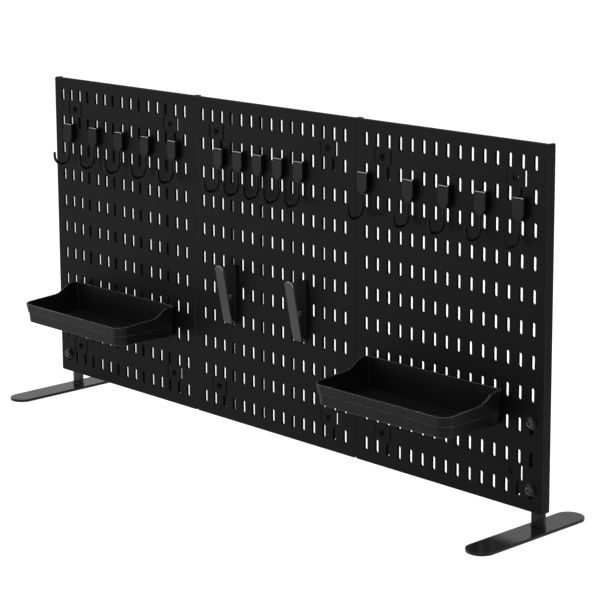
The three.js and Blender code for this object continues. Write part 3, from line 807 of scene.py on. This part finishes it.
arm_y = hook_at.y + front_y + WIRE_RADIUS
bend_y, bend_z = arm_y - BEND_RADIUS, hook_at.z + BEND_HEIGHT
arm = start("hook_arm", bpy.ops.mesh.primitive_circle_add, vertices=16, radius=WIRE_RADIUS,
            fill_type="NGON", location=(hook_at.x, arm_y, hook_at.z + HOOK_SHOULDER))
edit(arm)
extrude((0, 0, BEND_HEIGHT - HOOK_SHOULDER))
bpy.ops.mesh.spin(steps=20, angle=math.pi, center=(hook_at.x, bend_y, bend_z), axis=(1, 0, 0))
extrude((0, 0, TIP_HEIGHT - BEND_HEIGHT))
pick("edges", lambda e: spans(e, 2, hook_at.z + TIP_HEIGHT))
round_off(0.9 * WIRE_RADIUS, 5)
# The top of the J's rounded tip is marked for a painted highlight.
mark("painted_highlight", lambda f: f.select and f.normal.z > 0.6)
bpy.ops.mesh.select_all(action="SELECT")
bpy.ops.mesh.remove_doubles(threshold=CLOSE)
bpy.ops.mesh.normals_make_consistent(inside=False)
done()
hook = join(shield, arm, wall_tab("hook_tab", hook_at, -FIT_GAP - HOOK_DEPTH / 2))
smooth(hook, 45)
# The last grey is the colour of the painted highlights on the hooks.
hook_plastic = moulded_plastic("glossy_black_nylon", 0.002, 0.0035, 0.24, 0.085, painted_highlight_grey=0.4,
                               grain=0.03)
for node_name in sorted(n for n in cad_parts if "_hook_" in n):
    piece = copy(hook, f"j_{node_name}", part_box(node_name)[0] - hook_low)
    finish(piece, hook_plastic, "hook_plastic", node_name, node_name)
remove(hook)


# ----------------------------------------------------------------------------------- the trays
# Two like trays, moulded in black ABS: a tapered tub with a high back, sides that sweep down to a
# low front, and a band round the rim that stands just proud. Two tabs hang each in row eight.
TRAY_TOP, TRAY_HEIGHT, TRAY_FRONT = -1 * MM, 44 * MM, 27 * MM
TRAY_BAND, TRAY_LEDGE, TRAY_TAPER = 12.5 * MM, 0.8 * MM, 3.2 * MM
TRAY_WALL = 2.4 * MM
SWEEP_START, SWEEP_END, SWEEP_RISE = 12 * MM, 42 * MM, 4 * MM
SWEEP_STEPS = 14
FRONT_CORNER, BACK_CORNER = 15.2 * MM, 5.2 * MM
BOTTOM_EDGE, RIM_EDGE, BAND_MARGIN = 1.6 * MM, 0.85 * MM, 0.5 * MM
BRIGHT_STEP, BRIGHT_RIM = 1.2 * MM, 1.3 * MM  # how far from the step and the rim the painted highlight reaches
TAB_REACH = 4 * COLUMN_PITCH

tray_low, tray_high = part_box("left_tray")
tray_half = (tray_high.x - tray_low.x) / 2 - TRAY_LEDGE
tray_back = wall_front - FIT_GAP
tray_depth = tray_back - tray_low.y - TRAY_LEDGE
tray_at = Vector(((tray_low.x + tray_high.x) / 2, wall_front, tray_high.z - TRAY_TOP))
tray_bottom = tray_at.z + TRAY_TOP - TRAY_HEIGHT
band_bottom = tray_bottom + TRAY_FRONT - TRAY_BAND
tray_top = tray_bottom + TRAY_HEIGHT
tray_anchor = Vector((tray_at.x, tray_back, 0))
tray_middle = Vector((tray_at.x, tray_back - tray_depth / 2, tray_bottom))


def swept_height(y):
    """The rim's height over the tray's bottom at this depth."""
    back = tray_back - y
    if back <= SWEEP_START:
        return TRAY_HEIGHT
    foot_of_sweep = TRAY_FRONT + SWEEP_RISE
    if back < SWEEP_END:
        share = (back - SWEEP_START) / (SWEEP_END - SWEEP_START)
        ease = share * share * (3 - 2 * share)
        return TRAY_HEIGHT + (foot_of_sweep - TRAY_HEIGHT) * ease
    share = (back - SWEEP_END) / (tray_depth + TRAY_LEDGE - SWEEP_END)
    return foot_of_sweep - SWEEP_RISE * min(share, 1)


def on_rim_or_step(face):
    """Whether a face gets a painted highlight: on the outside of the step, or just rounded off at
    the rim.
    """
    place = face.calc_center_median()
    outward = (place - tray_middle).xy.dot(face.normal.xy) > -CLOSE
    if abs(place.z - band_bottom) < BRIGHT_STEP:
        return outward
    return face.select and abs(place.z - tray_bottom - swept_height(place.y)) < BRIGHT_RIM


# The bottom's outline, cut across where the sides will sweep, then drawn up in three steps: to
# the band, out by its ledge, and on to the rim.
lower_half, lower_depth = tray_half - TRAY_TAPER, tray_depth - TRAY_TAPER
tray = start("tray", bpy.ops.mesh.primitive_plane_add, size=1,
             location=(tray_at.x, tray_back - lower_depth / 2, tray_bottom))
edit(tray)
grow((2 * lower_half, lower_depth, 1), (tray_at.x, tray_back - lower_depth / 2, tray_bottom))
for test, corner, segments in (
    (lambda v: v.co.y < tray_back - lower_depth / 2, FRONT_CORNER, 9),
    (lambda v: near(v.co.y, tray_back), BACK_CORNER, 5),
):
    pick("verts", test)
    bpy.ops.mesh.bevel(offset=corner, segments=segments, affect="VERTICES")
for step in range(SWEEP_STEPS + 1):
    back = SWEEP_START + (SWEEP_END - SWEEP_START) * step / SWEEP_STEPS
    scaled = back * lower_depth / tray_depth
    bpy.ops.mesh.select_all(action="SELECT")
    bpy.ops.mesh.bisect(plane_co=(tray_at.x, tray_back - scaled, tray_bottom), plane_no=(0, 1, 0))
bpy.ops.mesh.select_all(action="SELECT")
band_share = (band_bottom - tray_bottom) / TRAY_HEIGHT
extrude((0, 0, band_bottom - tray_bottom))
band_half = lower_half + band_share * TRAY_TAPER
band_depth = lower_depth + band_share * TRAY_TAPER
grow((band_half / lower_half, band_depth / lower_depth, 1), tray_anchor)
extrude((0, 0, 0))
grow(((band_half + TRAY_LEDGE) / band_half, (band_depth + TRAY_LEDGE) / band_depth, 1), tray_anchor)
extrude((0, 0, tray_top - band_bottom))
grow(((tray_half + TRAY_LEDGE) / (band_half + TRAY_LEDGE),
      (tray_depth + TRAY_LEDGE) / (band_depth + TRAY_LEDGE), 1), tray_anchor)
bpy.ops.mesh.delete(type="ONLY_FACE")

# The tub is opened at the top, and its rim is brought down along the sweep.
pick("verts", lambda v: near(v.co.z, tray_top) and not v.is_boundary)
bpy.ops.mesh.delete(type="VERT")
pick("edges", lambda e: e.is_wire)
bpy.ops.mesh.delete(type="EDGE")
rim_places = sorted({round(v.co.y, 6) for v in bmesh.from_edit_mesh(tray.data).verts
                     if near(v.co.z, tray_top)})
for y in rim_places:
    drop = tray_bottom + swept_height(y) - tray_top
    if abs(drop) > CLOSE:
        pick("verts", lambda v: near(v.co.z, tray_top) and near(v.co.y, y))
        bpy.ops.transform.translate(value=(0, 0, drop))
pick("edges", lambda e: spans(e, 2, tray_bottom) and sharp(e))
round_off(BOTTOM_EDGE, 4)
bpy.ops.mesh.select_all(action="SELECT")
bpy.ops.mesh.normals_make_consistent(inside=False)
done()
finish_with(tray, "SOLIDIFY", thickness=TRAY_WALL, offset=-1, use_even_offset=True)
edit(tray)
pick("edges", lambda e: sharp(e, 60) and middle_of(e).z > band_bottom - BAND_MARGIN)
round_off(RIM_EDGE, 3)
# The rim and the step are marked for painted highlight lines.
mark("painted_highlight", on_rim_or_step)
done()
tabs = [wall_tab("tray_tab", tray_at + Vector((way * TAB_REACH, 0, 0)), -FIT_GAP - TRAY_WALL / 2)
        for way in (-1, 1)]
join(tray, *tabs)
smooth(tray, 42)
# The last grey is the colour of the painted highlight lines.
tray_plastic = moulded_plastic("black_tray_abs", 0.003, 0.005, 0.38, 0.1, painted_highlight_grey=0.45)
for side_name in ("left", "right"):
    node_name = f"{side_name}_tray"
    piece = copy(tray, f"swept_tray_{side_name}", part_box(node_name)[0] - tray_low)
    finish(piece, tray_plastic, "tray_plastic", node_name, node_name)
remove(tray)


# --------------------------------------------------------------------------- the tool holders
# Two spring holders for pliers and the like, in charcoal acetal: a flat back plate that turns up
# at its foot into a round-ended strap that leans out. One M4 screw and nut fix each.
PLATE_WIDTH, PLATE, PLATE_CORNER, PLATE_TAPER = 20 * MM, 2.5 * MM, 3 * MM, 8 * MM
HOLDER_TOP, HOLDER_BOTTOM, STRAP_TOP = 39 * MM, -43 * MM, 41 * MM
STRAP_WIDTH, STRAP, STRAP_REACH, STRAP_BEND = 16.5 * MM, 2.4 * MM, 26 * MM, 4 * MM
STRAP_FRONT, STRAP_TIP, STRAP_END = -15 * MM, 2 * MM, 0.49  # the end as a share of its width
HOLDER_SHANK, HOLDER_HEAD, HOLDER_EDGE = 2 * MM, 2.6 * MM, 0.5 * MM

holder_low, holder_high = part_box("left_holder")
screw_low, screw_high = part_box("left_holder_screw")
holder_at = Vector(((holder_low.x + holder_high.x) / 2, wall_front, holder_high.z - STRAP_TOP))
plate_y = -FIT_GAP - PLATE / 2
bend_top = HOLDER_BOTTOM + STRAP_BEND
strap_y = -FIT_GAP - PLATE - 2 * STRAP_BEND + STRAP / 2
bend_centre = Vector((0, (plate_y + strap_y) / 2, bend_top))
bend_radius = (plate_y - strap_y) / 2
lean = math.atan2(STRAP_REACH - STRAP / 2 + strap_y, STRAP_TOP - bend_top)
plate_middle = holder_at + Vector((0, plate_y, (HOLDER_TOP + bend_top) / 2))
holder = start("tool_holder", bpy.ops.mesh.primitive_plane_add, size=1, location=plate_middle,
               rotation=ALONG_Y)
edit(holder)
grow((PLATE_WIDTH, 1, HOLDER_TOP - bend_top), plate_middle)
bpy.ops.mesh.bisect(plane_co=holder_at + Vector((0, 0, bend_top + PLATE_TAPER)),
                    plane_no=(0, 0, 1))
pick("verts", lambda v: near(v.co.z, holder_at.z + bend_top))
grow((STRAP_WIDTH / PLATE_WIDTH, 1, 1), plate_middle)
pick("edges", lambda e: spans(e, 2, holder_at.z + bend_top))
bpy.ops.mesh.spin(steps=10, angle=math.pi - lean, center=holder_at + bend_centre,
                  axis=(1, 0, 0))
rise = STRAP_TOP - bend_top - STRAP / 2 * math.sin(lean)
extrude((0, -rise * math.tan(lean), rise))
strap_tip = holder_at.z + STRAP_TOP - STRAP_TIP
pick("verts", lambda v: v.co.z > strap_tip and v.co.y < holder_at.y + STRAP_FRONT)
bpy.ops.mesh.bevel(offset=STRAP_END * STRAP_WIDTH, segments=9, affect="VERTICES")
pick("verts", lambda v: near(v.co.z, holder_at.z + HOLDER_TOP))
bpy.ops.mesh.bevel(offset=PLATE_CORNER, segments=5, affect="VERTICES")
bpy.ops.mesh.select_all(action="SELECT")
bpy.ops.mesh.normals_make_consistent(inside=False)
done()
finish_with(holder, "SOLIDIFY", thickness=STRAP, offset=0, use_even_offset=True)
drill = start("drill", bpy.ops.mesh.primitive_cylinder_add, vertices=24,
              radius=HOLDER_SHANK + SCREW_CLEARANCE, depth=4 * PLATE, rotation=ALONG_Y,
              location=(holder_at.x, holder_at.y + plate_y, (screw_low.z + screw_high.z) / 2))
cut_away(holder, drill)
remove(drill)
edit(holder)
pick("edges", lambda e: sharp(e, 60))
round_off(HOLDER_EDGE, 3)
# A painted highlight on the strap's rounded top.
strap_head = holder_at + Vector((0, STRAP_FRONT, STRAP_TOP - 0.5 * STRAP_WIDTH))
mark("painted_highlight", lambda f: f.select and f.calc_center_median().z > strap_head.z
     and f.calc_center_median().y < strap_head.y)
# The faces behind the plate, towards the panel, are marked for painted shade, painted black.
just_before_plate = holder_at.y - FIT_GAP - 1.1 * PLATE
mark("painted_shade", lambda f: f.calc_center_median().y > just_before_plate)
done()
smooth(holder, 42)
# The last grey is the colour of the painted highlight on the strap.
holder_plastic = moulded_plastic("charcoal_acetal", 0.022, 0.032, 0.42, 0.25, painted_highlight_grey=0.3)
nut_low, nut_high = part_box("left_holder_nut")
holder_screw = pan_head_screw("holder_screw", screw_low, screw_high, HOLDER_HEAD, HOLDER_SHANK)
holder_nut = drilled_ring("holder_nut", nut_low, nut_high, HOLDER_SHANK, 6)
for side_name in ("left", "right"):
    node_name = f"{side_name}_holder"
    piece = copy(holder, f"spring_holder_{side_name}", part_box(node_name)[0] - holder_low)
    finish(piece, holder_plastic, "holder_plastic", "root", node_name)
    screw_name, nut_name = f"{node_name}_screw", f"{node_name}_nut"
    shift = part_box(screw_name)[0] - screw_low
    piece = copy(holder_screw, f"spring_holder_screw_{side_name}", shift)
    finish(piece, black_steel, "black_steel", "root", screw_name)
    piece = copy(holder_nut, f"spring_holder_nut_{side_name}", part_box(nut_name)[0] - nut_low)
    finish(piece, plain_steel, "plain_steel", "root", nut_name)
remove(holder, holder_screw, holder_nut)


# ------------------------------------------------------------- the floor, the light, the camera
# A plain pale floor, one broad soft light overhead, a paler one from the right and a low one in
# front, all white, and a long lens that looks from the right and a little above.
floor = start("pale_floor", bpy.ops.mesh.primitive_plane_add, size=60, location=(0, 0, 0))
floor_white = bpy.data.materials.new("floor_white")
floor_white.use_nodes = True
floor_shader = floor_white.node_tree.nodes["Principled BSDF"]
floor_shader.inputs["Base Color"].default_value = (0.2, 0.2, 0.2, 1)
floor_shader.inputs["Emission Color"].default_value = (1, 1, 1, 1)
floor_shader.inputs["Emission Strength"].default_value = 0.92
floor_shader.inputs["Roughness"].default_value = 0.9
floor_shader.inputs["Specular IOR Level"].default_value = 0.1
floor.data.materials.append(floor_white)


def soft_light(name, at, towards, width, power):
    """A square area light that faces a point."""
    lamp = bpy.data.lights.new(name, "AREA")
    lamp.shape = "SQUARE"
    lamp.size = width
    lamp.energy = power
    lamp_object = bpy.data.objects.new(name, lamp)
    bpy.context.scene.collection.objects.link(lamp_object)
    lamp_object.visible_camera = False
    lamp_object.location = at
    lamp_object.rotation_euler = (Vector(towards) - Vector(at)).to_track_quat("-Z", "Y").to_euler()


soft_light("overhead", (0, 0.3, 2.6), (0, 0, 0), 2.4, 60)
soft_light("from_the_right", (3.2, 0.8, 1.6), (0.3, 0, 0.2), 1.6, 18)
soft_light("low_in_front", (-0.7, -1.2, 0.1), (0, 0, 0.05), 1.4, 9)

world = bpy.data.worlds.new("studio")
bpy.context.scene.world = world
world.use_nodes = True
world.node_tree.nodes["Background"].inputs["Color"].default_value = (1, 1, 1, 1)
world.node_tree.nodes["Background"].inputs["Strength"].default_value = 0.9

# The small vertical shift keeps the wall's upright lines nearly parallel.
camera_data = bpy.data.cameras.new("camera")
camera_data.sensor_width = 36
camera_data.lens = 122.63
camera_data.shift_y = -0.15
camera_data.clip_end = 100
camera = bpy.data.objects.new("camera", camera_data)
bpy.context.scene.collection.objects.link(camera)
camera_right = Vector((0.6846, 0.7289, -0.0052))
camera_back = Vector((0.7174, -0.6725, 0.1818))
camera_up = camera_back.cross(camera_right).normalized()
camera_right = camera_up.cross(camera_back).normalized()
camera_turn = Matrix((camera_right, camera_up, camera_back.normalized())).transposed().to_4x4()
camera.matrix_world = Matrix.Translation((1.9877, -1.8036, 0.8336)) @ camera_turn
bpy.context.scene.camera = camera
bpy.context.scene.view_settings.view_transform = "Standard"
